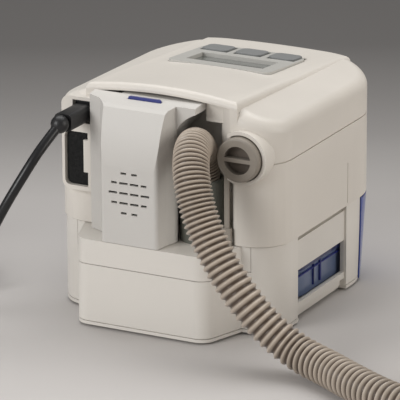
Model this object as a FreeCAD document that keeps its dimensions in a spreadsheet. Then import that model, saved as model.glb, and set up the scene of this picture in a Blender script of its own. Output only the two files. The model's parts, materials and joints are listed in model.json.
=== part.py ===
# Bedside breathing machine (CPAP class) on its heated humidifier, with rear data module.
# Frame: +Z up, -Y is the user's side, +Y is the rear with the hose and the mains inlet.
# Origin: middle of the underside, on the surface that the feet stand on. Millimetres.
import FreeCAD, Part
import Sketcher
import math
import os
import re
from FreeCAD import Placement, Rotation, Vector

doc = FreeCAD.newDocument("breathing_machine")
sizes = doc.addObject("Spreadsheet::Sheet", "Sizes")

DRIVING_SIZES = {
    # upper unit
    "half_width": 82.5, "rear_wall": 71, "front_wall": -101.5, "wall": 2.6,
    "rear_corner": 25, "front_corner": 46, "deck": 60, "seam": 116.5, "seam_gap": 0.8,
    "shoulder_low_rear": 141.3, "shoulder_low_front": 139.5, "shoulder_round": 9,
    "crease_x": 55, "crease_rear": 151.5, "crease_front": 143.5,
    "centre_edge_rear": 156, "centre_edge_front": 143.8,
    "centre_top_rear": 160.5, "centre_top_front": 145, "brow_round": 4, "brow_thick": 5,
    "recess_left": 44, "recess_right": -50, "recess_back": 46.5, "cheek_low": 126,
    # control panel, in its own tilted frame
    "panel_half_x": 38, "panel_half_y": 31.5, "panel_y": -39.5, "panel_z": 150.9,
    "panel_tilt": 4.9, "panel_thick": 2.6, "key_pitch": 25, "key_wide": 20, "key_deep": 17,
    "key_y": -20, "window_half_x": 28.5, "window_low": -3, "window_high": 21,
    # humidifier base
    "base_inset": 1, "base_front": -58, "block_half": 47, "block_root": 59, "block_rear": 101.5,
    "block_corner": 11, "band_low": 43, "band_half": 64, "band_front": 50, "plate_top": 3.7,
    "foot_high": 1.6, "bay_half": 77.2, "bay_back": 32, "cavity_front": 35, "bay_floor": 10,
    "bay_top": 56, "front_lean": 9, "side_panel": 80, "pillar_rear": -37, "heater_y": -20,
    "window_front": -36.5, "window_rear": 34, "sill_low": 9, "sill_top": 13.4, "window_top": 36,
    # water chamber
    "tub_half": 74.2, "tub_front": -68, "tub_back": 30, "tub_floor": 11.5, "tub_top": 33,
    "lid_top": 54, "tub_wall": 2, "tub_corner": 20, "plate_radius": 43.5, "fascia_top": 59.4,
    "fascia_low": 2.5, "fascia_thick": 3,
    # air path
    "port_x": -27, "port_y": 66, "port_radius": 14.2, "port_bore": 12.35, "port_top": 102,
    "inlet_duct_x": 30, "inlet_duct_y": 39.4, "duct_z": 40, "duct_radius": 9,
    "inlet_radius": 4.4,
    "cap_x": -59.5, "cap_z": 121, "cap_radius": 14.8, "nozzle_radius": 8.9,
    # mains inlet
    "inlet_x": 55, "inlet_z": 137, "inlet_half": 7,
    # blower
    "blower_x": -22, "blower_y": -34, "volute_radius": 40, "impeller_radius": 27,
    # data module
    "module_right": -13, "module_left": 28, "module_back": 72, "module_face": 101.5,
    "module_top": 150,
    # hose and mains cord
    "hose_radius": 12, "hose_coil_radius": 120, "hose_coil_x": -318, "hose_coil_y": 60,
    "cord_radius": 3.25, "cord_coil_x": 178, "cord_coil_y": 74, "cord_coil_radius": 35,
}
for row, (name, number) in enumerate(DRIVING_SIZES.items(), 1):
    sizes.set(f"A{row}", name)
    sizes.set(f"B{row}", str(number))
    sizes.setAlias(f"B{row}", name)
doc.recompute()

PIECES = []
ALONG = {"x": Rotation(Vector(0, 1, 0), 90), "y": Rotation(Vector(1, 0, 0), -90),
         "z": Rotation()}


def size(name):
    """The number in one cell of the sheet."""
    return float(sizes.get(name))


def cells(text):
    """An expression in which every word is a cell of the sheet."""
    return re.sub(r"[a-z][a-z_]*", lambda word: "Sizes." + word.group(0), str(text))


def box(name, x, y, z):
    """A block between two corners, each coordinate a number or an expression."""
    part = doc.addObject("Part::Box", name)
    for field, axis, (low, high) in (("Length", "x", x), ("Width", "y", y), ("Height", "z", z)):
        part.setExpression(field, cells(f"({high}) - ({low})"))
        part.setExpression(f"Placement.Base.{axis}", cells(low))
    return part


def place(part, x, y, z):
    """Binds where a primitive stands."""
    for axis, text in (("x", x), ("y", y), ("z", z)):
        part.setExpression(f"Placement.Base.{axis}", cells(text))


def rod(name, radius, start, length, axis="z"):
    """A round bar from a start point along one axis."""
    part = doc.addObject("Part::Cylinder", name)
    part.Placement = Placement(Vector(), ALONG[axis])
    part.setExpression("Radius", cells(radius))
    part.setExpression("Height", cells(length))
    place(part, *start)
    return part


def ring(name, outer, inner, start, length, axis="z"):
    """A round sleeve."""
    return cut(name, rod(f"{name}_outer", outer, start, length, axis),
               rod(f"{name}_bore", inner, start, length, axis))


def cut(name, base, *tools):
    """The base with every tool taken out of it, one after another."""
    for number, tool in enumerate(tools, 1):
        part = doc.addObject("Part::Cut", name if number == len(tools) else f"{name}_{number}")
        part.Base = base
        part.Tool = tool
        base = part
    return base


def joined(name, *parts):
    """Several solids made one."""
    part = doc.addObject("Part::MultiFuse", name)
    part.Shapes = list(parts)
    part.Refine = True
    return part


def shared(name, first, second):
    """What two solids have in common."""
    part = doc.addObject("Part::Common", name)
    part.Base = first
    part.Tool = second
    return part


def rounded(name, base, radius, pick):
    """The base with the picked edges rounded; pick gets an edge's box."""
    doc.recompute()
    part = doc.addObject("Part::Fillet", name)
    part.Base = base
    part.Edges = [(number, radius, radius) for number, edge in enumerate(base.Shape.Edges, 1)
                  if pick(edge.BoundBox)]
    return part


def upright(edge):
    """True for an edge that runs straight up."""
    return edge.XLength < 0.01 and edge.YLength < 0.01


def form(name, shape):
    """A shape that no primitive makes, held in the document."""
    part = doc.addObject("Part::Feature", name)
    part.Shape = shape
    return part


def group(name, *parts):
    """Identical pieces kept as one node of separate solids."""
    part = doc.addObject("Part::Compound", name)
    part.Links = list(parts)
    return part


def piece(label, part):
    """Names a finished piece and puts it on the list of files."""
    part.Label = label
    PIECES.append(part)
    return part


# ---------------------------------------------------------------- part design helpers
def new_body(label):
    """A body of the parametric kind, already on the list of files."""
    body = doc.addObject("PartDesign::Body", f"{label}_body")
    return piece(label, body)


def new_sketch(body, name, plane="XY_Plane", offset=0):
    """A sketch on one of the body's own origin planes."""
    sketch = body.newObject("Sketcher::SketchObject", name)
    support = next(item for item in body.Origin.OriginFeatures if item.Role == plane)
    sketch.AttachmentSupport = [(support, "")]
    sketch.MapMode = "FlatFace"
    sketch.setExpression("AttachmentOffset.Base.z", cells(offset))
    return sketch


def pin(sketch, shape, point, x, y):
    """Holds one sketch point at a place bound to the sheet."""
    for kind, text in (("DistanceX", x), ("DistanceY", y)):
        start = 10.0 + 7 * len(sketch.Constraints)
        number = sketch.addConstraint(Sketcher.Constraint(kind, -1, 1, shape, point, start))
        sketch.setExpression(f"Constraints[{number}]", cells(text))


def circle(sketch, radius, x=0, y=0):
    """A circle whose radius and centre are bound to the sheet."""
    shape = sketch.addGeometry(Part.Circle(Vector(1, 1, 0), Vector(0, 0, 1), 5), False)
    number = sketch.addConstraint(Sketcher.Constraint("Radius", shape, 5))
    sketch.setExpression(f"Constraints[{number}]", cells(radius))
    pin(sketch, shape, 3, x, y)


def polygon(sketch, points):
    """A closed outline of straight lines through points bound to the sheet."""
    count = len(points)
    spots = [Vector(50 * math.cos(2 * math.pi * number / count),
                    50 * math.sin(2 * math.pi * number / count), 0) for number in range(count)]
    first = len(sketch.Geometry)
    for number in range(count):
        sketch.addGeometry(Part.LineSegment(spots[number], spots[(number + 1) % count]), False)
    for number in range(count):
        following = first + (number + 1) % count
        sketch.addConstraint(Sketcher.Constraint("Coincident", first + number, 2, following, 1))
    for number, (x, y) in enumerate(points):
        pin(sketch, first + number, 1, x, y)


def rectangle(sketch, x, y):
    """A rectangle between two corners bound to the sheet."""
    polygon(sketch, [(x[0], y[0]), (x[1], y[0]), (x[1], y[1]), (x[0], y[1])])


def pad(body, sketch, length):
    """Raises a sketch to a solid."""
    feature = body.newObject("PartDesign::Pad", f"{sketch.Name}_pad")
    feature.Profile = sketch
    feature.setExpression("Length", cells(length))
    return feature


def pocket(body, sketch, length):
    """Cuts a sketch out of the solid, and stops if nothing was cut."""
    doc.recompute()
    before = body.Shape.Volume
    feature = body.newObject("PartDesign::Pocket", f"{sketch.Name}_pocket")
    feature.Profile = sketch
    feature.Reversed = True
    feature.setExpression("Length", cells(length))
    doc.recompute()
    if body.Shape.Volume > before - 0.01:
        raise RuntimeError(f"{feature.Name} cuts nothing")
    return feature


def fillet(body, radius, pick):
    """Rounds the picked edges of the body's newest feature."""
    doc.recompute()
    tip = body.Tip
    names = [f"Edge{number}" for number, edge in enumerate(tip.Shape.Edges, 1)
             if pick(edge.BoundBox)]
    feature = body.newObject("PartDesign::Fillet", f"{tip.Name}_fillet")
    feature.Base = (tip, names)
    feature.setExpression("Radius", cells(radius))
    return feature


# ---------------------------------------------------------------- outer form of the upper unit
def plan_prism(inset, low, high):
    """The upper unit's plan, moved in by inset, as an upright prism."""
    half = size("half_width") - inset
    rear = size("rear_wall") - inset
    front = size("front_wall") + inset
    solid = Part.makeBox(2 * half, rear - front, high - low, Vector(-half, front, low))
    for radius, side in ((size("rear_corner") - inset, rear), (size("front_corner") - inset, front)):
        corners = [edge for edge in solid.Edges if upright(edge.BoundBox)
                   and abs(edge.BoundBox.YMin - side) < 0.01]
        solid = solid.makeFillet(radius, corners)
    return solid


def section(y, points):
    """A closed outline in an upright plane across the machine."""
    corners = [Vector(x, y, z) for x, z in points]
    return Part.makePolygon(corners + corners[:1])


def shoulder_prism(drop):
    """Everything under the two sloping shoulders."""
    edge = size("crease_x")
    outer = size("half_width") + 12.5
    sections = []
    for y, crease, low in ((76, "crease_rear", "shoulder_low_rear"),
                           (-105, "crease_front", "shoulder_low_front")):
        slope = (size(crease) - size(low)) / (size("half_width") - edge)
        top = size(crease) - drop
        eaves = top - slope * (outer - edge)
        sections.append(section(y, [(-outer, 50), (-outer, eaves), (-edge, top), (edge, top),
                                    (outer, eaves), (outer, 50)]))
    return Part.makeLoft(sections, True, True)


def arched_prism(drop, floor):
    """Everything from a floor up to the raised, arched centre of the roof."""
    edge = size("crease_x")
    sections = []
    for y, side, top in ((76, "centre_edge_rear", "centre_top_rear"),
                         (-105, "centre_edge_front", "centre_top_front")):
        right = Vector(-edge, y, size(side) - drop)
        left = Vector(edge, y, size(side) - drop)
        crown = Vector(0, y, size(top) - drop)
        right_foot = Vector(-edge, y, floor)
        left_foot = Vector(edge, y, floor)
        sections.append(Part.Wire([Part.Arc(right, crown, left).toShape(),
                                   Part.makeLine(left, left_foot),
                                   Part.makeLine(left_foot, right_foot),
                                   Part.makeLine(right_foot, right)]))
    return Part.makeLoft(sections, True, True)


def roof_edges(solid, creases):
    """The edges round the top of a roof, with or without the long creases."""
    crease = size("crease_x")
    chosen = []
    for edge in solid.Edges:
        span = edge.BoundBox
        on_crease = abs(abs(span.XMin) - crease) < 0.5 and abs(abs(span.XMax) - crease) < 0.5
        if span.ZMin > size("seam") + 15 and (creases or not on_crease):
            chosen.append(edge)
    return chosen


def unit_form(inset, low):
    """The whole upper unit, rounded, moved in by inset and starting at a height."""
    plan = plan_prism(inset, low, 175)
    shoulders = plan.common(shoulder_prism(inset)).Solids[0]
    shoulders = shoulders.makeFillet(size("shoulder_round") - 0.6 * inset, roof_edges(shoulders, False))
    centre = plan.common(arched_prism(inset, size("seam") - 20)).Solids[0]
    centre = centre.makeFillet(size("brow_round"), roof_edges(centre, True))
    return shoulders.fuse(centre).removeSplitter().Solids[0]


def recess_cheek():
    """The curved cheek that closes the upper corner of the recess beside the hose."""
    low = size("cheek_low")
    corner = Vector(size("recess_right"), size("rear_wall"), low)
    bulge = Vector(-42.5, 66, low)
    inner = Vector(-37.5, 57, low)
    spots = [inner, Vector(-37.5, 40, low), Vector(-55, 40, low), Vector(-55, 71, low), corner]
    edges = [Part.Arc(corner, bulge, inner).toShape()]
    edges += [Part.makeLine(first, second) for first, second in zip(spots, spots[1:])]
    cheek = Part.Face(Part.Wire(edges)).extrude(Vector(0, 0, 50))
    above_hose = Part.makeBox(19.5, 26, 40, Vector(size("recess_right"), 40, low + 14))
    return cheek.fuse(above_hose)


def upper_unit():
    """The two housings of the upper unit, with the rear recess and every opening."""
    outside = form("unit_outside", unit_form(0, size("deck")))
    inside = form("unit_inside", unit_form(size("wall"), size("deck") + size("wall")))
    under_brow = form("under_brow", arched_prism(size("brow_thick"), 40))
    notch_box = cut("notch_box", box("notch_block", ("recess_right", "recess_left"),
                                     ("recess_back", 90), (50, 170)),
                    form("recess_cheek", recess_cheek()))
    rear_notch = shared("rear_notch", under_brow, notch_box)
    notch_walls = box("notch_walls", ("recess_right - wall", "recess_left + wall"),
                      ("recess_back - wall", 90), (50, 175))
    corner_round = cut("corner_round", box("corner_square", ("recess_right - 5", "recess_right + 1"),
                                           ("rear_wall - 5", 90), (50, "cheek_low")),
                       rod("corner_rod", 5, ("recess_right - 5", "rear_wall - 5", 40), 130))
    body = cut("notched_outside", outside, rear_notch, corner_round)
    hollow = cut("hollow", inside, notch_walls)
    shell = cut("unit_shell", body, hollow)

    inlet_hole = box("inlet_hole", ("inlet_x - 8", "inlet_x + 7.5"), (55, 90),
                     ("inlet_z - inlet_half - 0.5", "inlet_z + inlet_half + 0.5"))
    filter_hole = box("filter_hole", (52, 69), (55, 90), (86, 123))
    nozzle_hole = rod("nozzle_hole", "nozzle_radius + 0.02", ("cap_x", 30, "cap_z"), 60, "y")
    shell = cut("unit_openings", shell, inlet_hole, filter_hole, nozzle_hole)

    groove_plan = form("seam_groove_core", plan_prism(1.2, 100, 130))
    seam_groove = cut("seam_groove", box("groove_slab", (-100, 100), (-120, 90),
                                         ("seam - seam_gap", "seam")), groove_plan)
    foot_core = form("foot_groove_core", plan_prism(1.5, 40, 80))
    foot_groove = cut("foot_groove", box("foot_slab", (-100, 100), (-120, 90),
                                         ("deck", "deck + 0.6")), foot_core)
    below = box("below_seam", (-100, 100), (-120, 90), (40, "seam"))
    above = box("above_seam", (-100, 100), (-120, 90), ("seam", 180))

    lower = shared("lower_cut", shell, below)
    inlet_port = rod("air_port_hole", "inlet_radius + 0.2", ("inlet_duct_x", "inlet_duct_y", 55), 12)
    latch_slot = box("latch_slot", (-9, 9), (-97, -91), (55, 61.6))
    side_panels = [box(f"side_panel_{side}", (low, high), ("pillar_rear", "pillar_rear + 0.8"),
                       (62, 90))
                   for side, low, high in (("left", 81.9, 83), ("right", -83, -81.9))]
    lower = cut("lower_shell", lower, seam_groove, foot_groove, inlet_port, latch_slot,
                *side_panels)
    piece("lower_housing", lower)

    upper = shared("upper_cut", shell, above)
    opening = box("panel_opening", (-36.5, 36.5), (-30, 30), (-12, 12))
    on_panel(opening)
    seat = box("panel_seat", ("-panel_half_x - 0.3", "panel_half_x + 0.3"),
               ("-panel_half_y - 0.3", "panel_half_y + 0.3"), ("-panel_thick", 12))
    seat = rounded("panel_seat_rounded", seat, 5, lambda edge: upright(edge) and edge.YMin > 0)
    seat = rounded("panel_seat_far", seat, 13, lambda edge: upright(edge) and edge.YMin < -30)
    on_panel(seat)
    piece("upper_housing", cut("upper_shell", upper, opening, seat))


def on_panel(part):
    """Moves a piece drawn in the control panel's own tilted frame to its place on the roof."""
    frame = Placement(Vector(0, size("panel_y"), size("panel_z")),
                      Rotation(Vector(1, 0, 0), size("panel_tilt")))
    if part.TypeId == "Part::Box":
        doc.recompute()
        for axis in "xyz":
            part.setExpression(f"Placement.Base.{axis}", None)
    part.Placement = frame.multiply(part.Placement)


# ---------------------------------------------------------------- control panel
def control_panel():
    """Bezel, display, three keys with their domes, and the main circuit board."""
    half_x = "panel_half_x"
    posts_at = [(-33, -3), (33, -3), (-33, 27), (33, 27)]
    bezel = new_body("control_bezel")
    outline = new_sketch(bezel, "bezel_outline", offset="-panel_thick")
    rectangle(outline, (f"-{half_x}", half_x), ("-panel_half_y", "panel_half_y"))
    pad(bezel, outline, "panel_thick")
    fillet(bezel, 5, lambda edge: upright(edge) and edge.YMin > 0)
    fillet(bezel, 13, lambda edge: upright(edge) and edge.YMin < -30)
    holes = new_sketch(bezel, "bezel_holes", offset="-panel_thick - 1")
    for number in (-1, 0, 1):
        middle = f"{number} * key_pitch"
        rectangle(holes, (f"{middle} - key_wide / 2 - 0.3", f"{middle} + key_wide / 2 + 0.3"),
                  ("key_y - key_deep / 2 - 0.3", "key_y + key_deep / 2 + 0.3"))
    rectangle(holes, ("-window_half_x", "window_half_x"), ("window_low", "window_high"))
    pocket(bezel, holes, "panel_thick + 2")
    posts = new_sketch(bezel, "bezel_posts", offset="-panel_thick - 5.6")
    for x, y in posts_at:
        circle(posts, 2.4, x, y)
    pad(bezel, posts, 6)
    on_panel(bezel)

    glass = box("glass_pane", ("-window_half_x - 1.5", "window_half_x + 1.5"),
                ("window_low - 1.5", "window_high + 1.5"), ("-panel_thick - 1.2", "-panel_thick"))
    piece("display_window", glass)
    on_panel(glass)
    module = joined("display_stack",
                    box("lcd_cell", (-27, 27), (-3, 21), ("-panel_thick - 3.6", "-panel_thick - 1.4")),
                    box("lcd_frame", (-29, 29), (-5, 23), ("-panel_thick - 5.4", "-panel_thick - 3.6")))
    piece("display_module", module)
    on_panel(module)

    for number, label in ((1, "key_left"), (0, "key_middle"), (-1, "key_right")):
        key = new_body(label)
        cap = new_sketch(key, f"{label}_cap", offset="-panel_thick + 0.3")
        middle = f"{number} * key_pitch"
        rectangle(cap, (f"{middle} - key_wide / 2", f"{middle} + key_wide / 2"),
                  ("key_y - key_deep / 2", "key_y + key_deep / 2"))
        pad(key, cap, "panel_thick + 0.9")
        fillet(key, 4.5, upright)
        fillet(key, 0.8, lambda edge: edge.ZLength < 0.01 and edge.ZMin > 0)
        plunger = new_sketch(key, f"{label}_plunger", offset="-panel_thick - 1.6")
        circle(plunger, 2.5, middle, "key_y")
        pad(key, plunger, 1.9)
        on_panel(key)

    domes = [box("dome_sheet", (-36, 36), (-29.5, -9), ("-panel_thick - 4.2", "-panel_thick - 3.4"))]
    domes += [rod(f"dome_{number}", 4.5, (f"{number} * key_pitch", "key_y", "-panel_thick - 3.4"),
                  0.9) for number in (-1, 0, 1)]
    keypad = joined("dome_keypad", *domes)
    piece("key_domes", keypad)
    on_panel(keypad)

    board = new_body("main_circuit_board")
    outline = new_sketch(board, "board_outline", offset="-panel_thick - 7.2")
    rectangle(outline, (-36, 36), (-29.5, 29.5))
    pad(board, outline, 1.6)
    screws = new_sketch(board, "board_holes", offset="-panel_thick - 8")
    for x, y in posts_at:
        circle(screws, 1.6, x, y)
    pocket(board, screws, 3)
    on_panel(board)


# ---------------------------------------------------------------- inside the upper unit
def blower():
    """Radial blower: two volute halves, motor, impeller and soft mounts."""
    x, y = "blower_x", "blower_y"
    spout_x = ("blower_x + 20", "blower_x + volute_radius - 1")
    spout_hollow = ("blower_x + 22", "blower_x + volute_radius - 3")
    spout_y = ("blower_y", 30)
    shell_low = joined("volute_low_solid", rod("volute_low_round", "volute_radius", (x, y, 72), 14),
                       box("volute_spout", spout_x, spout_y, (72, 86)))
    bowl = joined("volute_bowl", rod("bowl_round", "volute_radius - 2", (x, y, 74), 14),
                  box("bowl_spout", spout_hollow, ("blower_y", 40), (74, 88)))
    shaft_hole = rod("volute_shaft_hole", 9, (x, y, 70), 5)
    piece("blower_volute_lower", cut("volute_low", shell_low, bowl, shaft_hole))
    shell_high = joined("volute_high_solid",
                        rod("volute_high_round", "volute_radius", (x, y, 86), 12),
                        box("volute_high_spout", spout_x, spout_y, (86, 90)))
    dish = rod("volute_dish", "volute_radius - 2", (x, y, 80), 16)
    channel = box("volute_channel", spout_hollow, ("blower_y", 40), (80, 88))
    eye = rod("volute_eye", 13, (x, y, 90), 12)
    piece("blower_volute_upper", cut("volute_high", shell_high, dish, channel, eye))

    elbow = joined("elbow_solid", box("elbow_box", (-3, 37), (30.2, 43.6), (70, 90)),
                   rod("elbow_drop", 6, ("inlet_duct_x", 36.9, "deck + wall"), 8))
    elbow_hollow = joined("elbow_hollow", box("elbow_channel", (-1.5, 35.5), (28, 42), (72, 88.5)),
                          rod("elbow_bore", 4.2, ("inlet_duct_x", 36.9, 60), 14))
    piece("blower_outlet_duct", cut("elbow_shell", elbow, elbow_hollow))

    motor = new_body("blower_motor")
    can = new_sketch(motor, "motor_can", offset=64)
    circle(can, 17, x, y)
    pad(motor, can, 7.6)
    neck = new_sketch(motor, "motor_neck", offset=71.6)
    circle(neck, 8.6, x, y)
    pad(motor, neck, 3)
    shaft = new_sketch(motor, "motor_shaft", offset=74.6)
    circle(shaft, 1.5, x, y)
    pad(motor, shaft, 12)

    wheel = new_body("blower_impeller")
    disc = new_sketch(wheel, "impeller_disc", offset=76)
    circle(disc, "impeller_radius")
    pad(wheel, disc, 1.4)
    hub = new_sketch(wheel, "impeller_hub", offset=77.4)
    circle(hub, 5)
    pad(wheel, hub, 8)
    blade = new_sketch(wheel, "impeller_blade", offset=77.4)
    polygon(blade, [(9, -0.6), ("impeller_radius - 1", 6.4), ("impeller_radius - 1", 7.6), (9, 0.6)])
    blade_pad = pad(wheel, blade, 11)
    pattern = wheel.newObject("PartDesign::PolarPattern", "impeller_blades")
    pattern.Originals = [blade_pad]
    axis = next(item for item in wheel.Origin.OriginFeatures if item.Role == "Z_Axis")
    pattern.Axis = (axis, [""])
    pattern.Angle = 360
    pattern.Occurrences = 11
    wheel.Tip = pattern
    bore = new_sketch(wheel, "impeller_bore", offset=70)
    circle(bore, 1.55)
    pocket(wheel, bore, 30)
    wheel.setExpression("Placement.Base.x", cells(x))
    wheel.setExpression("Placement.Base.y", cells(y))

    mounts = [rod(f"mount_{number}", 5, (f"blower_x + {dx}", f"blower_y + {dy}", "deck + wall"),
                  "72 - deck - wall") for number, (dx, dy) in enumerate(((-28, -16), (28, -16), (0, 31)))]
    piece("blower_mounts", group("mount_group", *mounts))
    piece("muffler_foam", cut("foam_block", box("foam_slab", (-68, 30), (-76, 8), (98.4, 118)),
                              rod("foam_eye", 14, (x, y, 95), 15),
                              box("foam_cavity", (-55, 20), (-66, -2), (106, 114))))


def electrics():
    """Mains inlet with its pins and the power supply board."""
    block = box("inlet_block", ("inlet_x - 7.4", "inlet_x + 7"), (50, 72.5),
                ("inlet_z - inlet_half", "inlet_z + inlet_half"))
    socket = box("inlet_socket", ("inlet_x - 6.4", "inlet_x + 6.4"), (54, 80),
                 ("inlet_z - 5.6", "inlet_z + 5.6"))
    pins = [rod(f"inlet_pin_{side}", 1.2, (f"inlet_x + {offset}", 52, "inlet_z"), 14, "y")
            for side, offset in (("left", 3), ("right", -3))]
    piece("mains_inlet", joined("inlet_with_pins", cut("inlet_housing", block, socket), *pins))

    board = new_body("power_supply_board")
    outline = new_sketch(board, "supply_outline", offset=70)
    rectangle(outline, (42, 76), (-70, 30))
    pad(board, outline, 1.6)
    blocks = new_sketch(board, "supply_blocks", offset=71.6)
    rectangle(blocks, (46, 70), (-60, -34))
    rectangle(blocks, (48, 62), (-24, -6))
    rectangle(blocks, (66, 73), (-20, 18))
    pad(board, blocks, 18)
    cans = new_sketch(board, "supply_cans", offset=71.6)
    circle(cans, 7, 55, 8)
    circle(cans, 5, 52, 22)
    pad(board, cans, 24)


def rear_fittings():
    """Filter with its frame, and the air outlet with ring, cap and strap."""
    plate = rounded("frame_plate", box("frame_slab", (48.2, 71), (58, 75.5), (83, 147)), 6,
                    lambda edge: edge.XLength < 0.01 and edge.ZLength < 0.01 and edge.XMin > 60)
    outside = doc.getObject("unit_outside")
    frame = cut("frame_open", plate, outside,
                box("frame_inlet", (40, "inlet_x + 7.7"), (50, 90),
                    ("inlet_z - inlet_half - 0.7", "inlet_z + inlet_half + 0.7")),
                rounded("frame_filter", box("frame_filter_block", (51.8, 69), (50, 90), (86, 123)), 4,
                        lambda edge: edge.XLength < 0.01 and edge.ZLength < 0.01
                        and edge.XMin > 60))
    tab = box("filter_tab", (51.8, 55), (73.2, 75.5), (96, 118))
    piece("filter_frame", joined("frame_with_tab", frame, tab))
    piece("air_filter", rounded("filter_foam", box("foam_pad", (52.2, 68.4), (58.5, 72.8),
                                                   (86.4, 122.6)), 4,
                                lambda edge: edge.XLength < 0.01 and edge.ZLength < 0.01
                                and edge.XMin > 60))

    left_out = box("ring_side", ("recess_right", 0), (50, 90), (90, 150))
    collar = cut("collar_shape", rod("collar_outer", "cap_radius + 3.2",
                                     ("cap_x", 55, "cap_z"), 20, "y"),
                 rod("collar_inner", "cap_radius + 0.8", ("cap_x", 50, "cap_z"), 40, "y"),
                 outside, left_out)
    piece("outlet_collar", collar)
    nozzle = ring("nozzle_sleeve", "nozzle_radius", "nozzle_radius - 2", ("cap_x", 42, "cap_z"),
                  29, "y")
    piece("air_outlet_nozzle", nozzle)
    cap_solid = joined("cap_solid", rod("cap_disc", "cap_radius", ("cap_x", 73, "cap_z"), 7, "y"),
                       rod("cap_stem", "nozzle_radius - 2.05", ("cap_x", 56, "cap_z"), 17.5, "y"))
    grip = rod("cap_grip", 9.4, ("cap_x", 74.4, "cap_z"), 10, "y")
    bar = box("cap_bar", ("cap_x - 12", "cap_x + 12"), (74, 80), ("cap_z - 1.3", "cap_z + 1.3"))
    grip_halves = cut("cap_grip_halves", grip, bar)
    cap = cut("cap_gripped", cap_solid, grip_halves)
    cap = rounded("cap_edges", cap, 1.5, lambda edge: edge.YLength < 0.01
                  and edge.XLength > 25 and edge.YMin > 79)
    piece("outlet_cap", cap)
    strap = joined("strap_shape", ring("strap_ring", 12.5, "nozzle_radius + 0.3",
                                       ("cap_x", 71.3, "cap_z"), 1.3, "y"),
                   box("strap_arm", ("cap_x + 9.6", "cap_x + 13"), (71.3, 72.6), (66, 121)),
                   box("strap_foot", ("cap_x + 8", "cap_x + 14.5"), (71.3, 73.6), ("deck", 72)))
    piece("cap_strap", strap)


# ---------------------------------------------------------------- humidifier base
def lean_form(inset, low, high):
    """The front of the base: the unit's plan, leaning back towards the floor."""
    half = size("half_width") - inset
    radius = size("front_corner") - inset
    middle = half - radius
    wires = []
    for z in (low, high):
        front = size("front_wall") + inset + size("front_lean") * (1 - z / size("deck"))
        turn = front + radius
        chord = radius * math.sqrt(0.5)
        corners = [Vector(-half, 130, z), Vector(-half, turn, z), Vector(-middle, front, z),
                   Vector(middle, front, z), Vector(half, turn, z), Vector(half, 130, z)]
        bend_right = Vector(-middle - chord, turn - chord, z)
        bend_left = Vector(middle + chord, turn - chord, z)
        wires.append(Part.Wire([
            Part.makeLine(corners[0], corners[1]),
            Part.Arc(corners[1], bend_right, corners[2]).toShape(),
            Part.makeLine(corners[2], corners[3]),
            Part.Arc(corners[3], bend_left, corners[4]).toShape(),
            Part.makeLine(corners[4], corners[5]), Part.makeLine(corners[5], corners[0])]))
    return Part.makeLoft(wires, True, True)


def base_form(inset, low, high):
    """The base's plan with its rear block, moved in by inset, as an upright prism."""
    wide = plan_prism(size("base_inset") + inset, low, high)
    keep = Part.makeBox(200, 250, high - low, Vector(-100, size("base_front"), low))
    wide = wide.common(keep).common(lean_form(size("base_inset") + inset, low, high))
    half, root, rear = (size(name) - inset for name in ("block_half", "block_root", "block_rear"))
    root_y = size("rear_wall") - size("base_inset") - inset - 4
    corners = [Vector(-root, root_y, low), Vector(root, root_y, low), Vector(half, rear, low),
               Vector(-half, rear, low)]
    block = Part.Face(Part.makePolygon(corners + corners[:1])).extrude(Vector(0, 0, high - low))
    block = block.makeFillet(size("block_corner") - inset, [
        edge for edge in block.Edges if upright(edge.BoundBox) and edge.BoundBox.YMin > rear - 1])
    return wide.fuse(block).removeSplitter().Solids[0]


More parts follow.
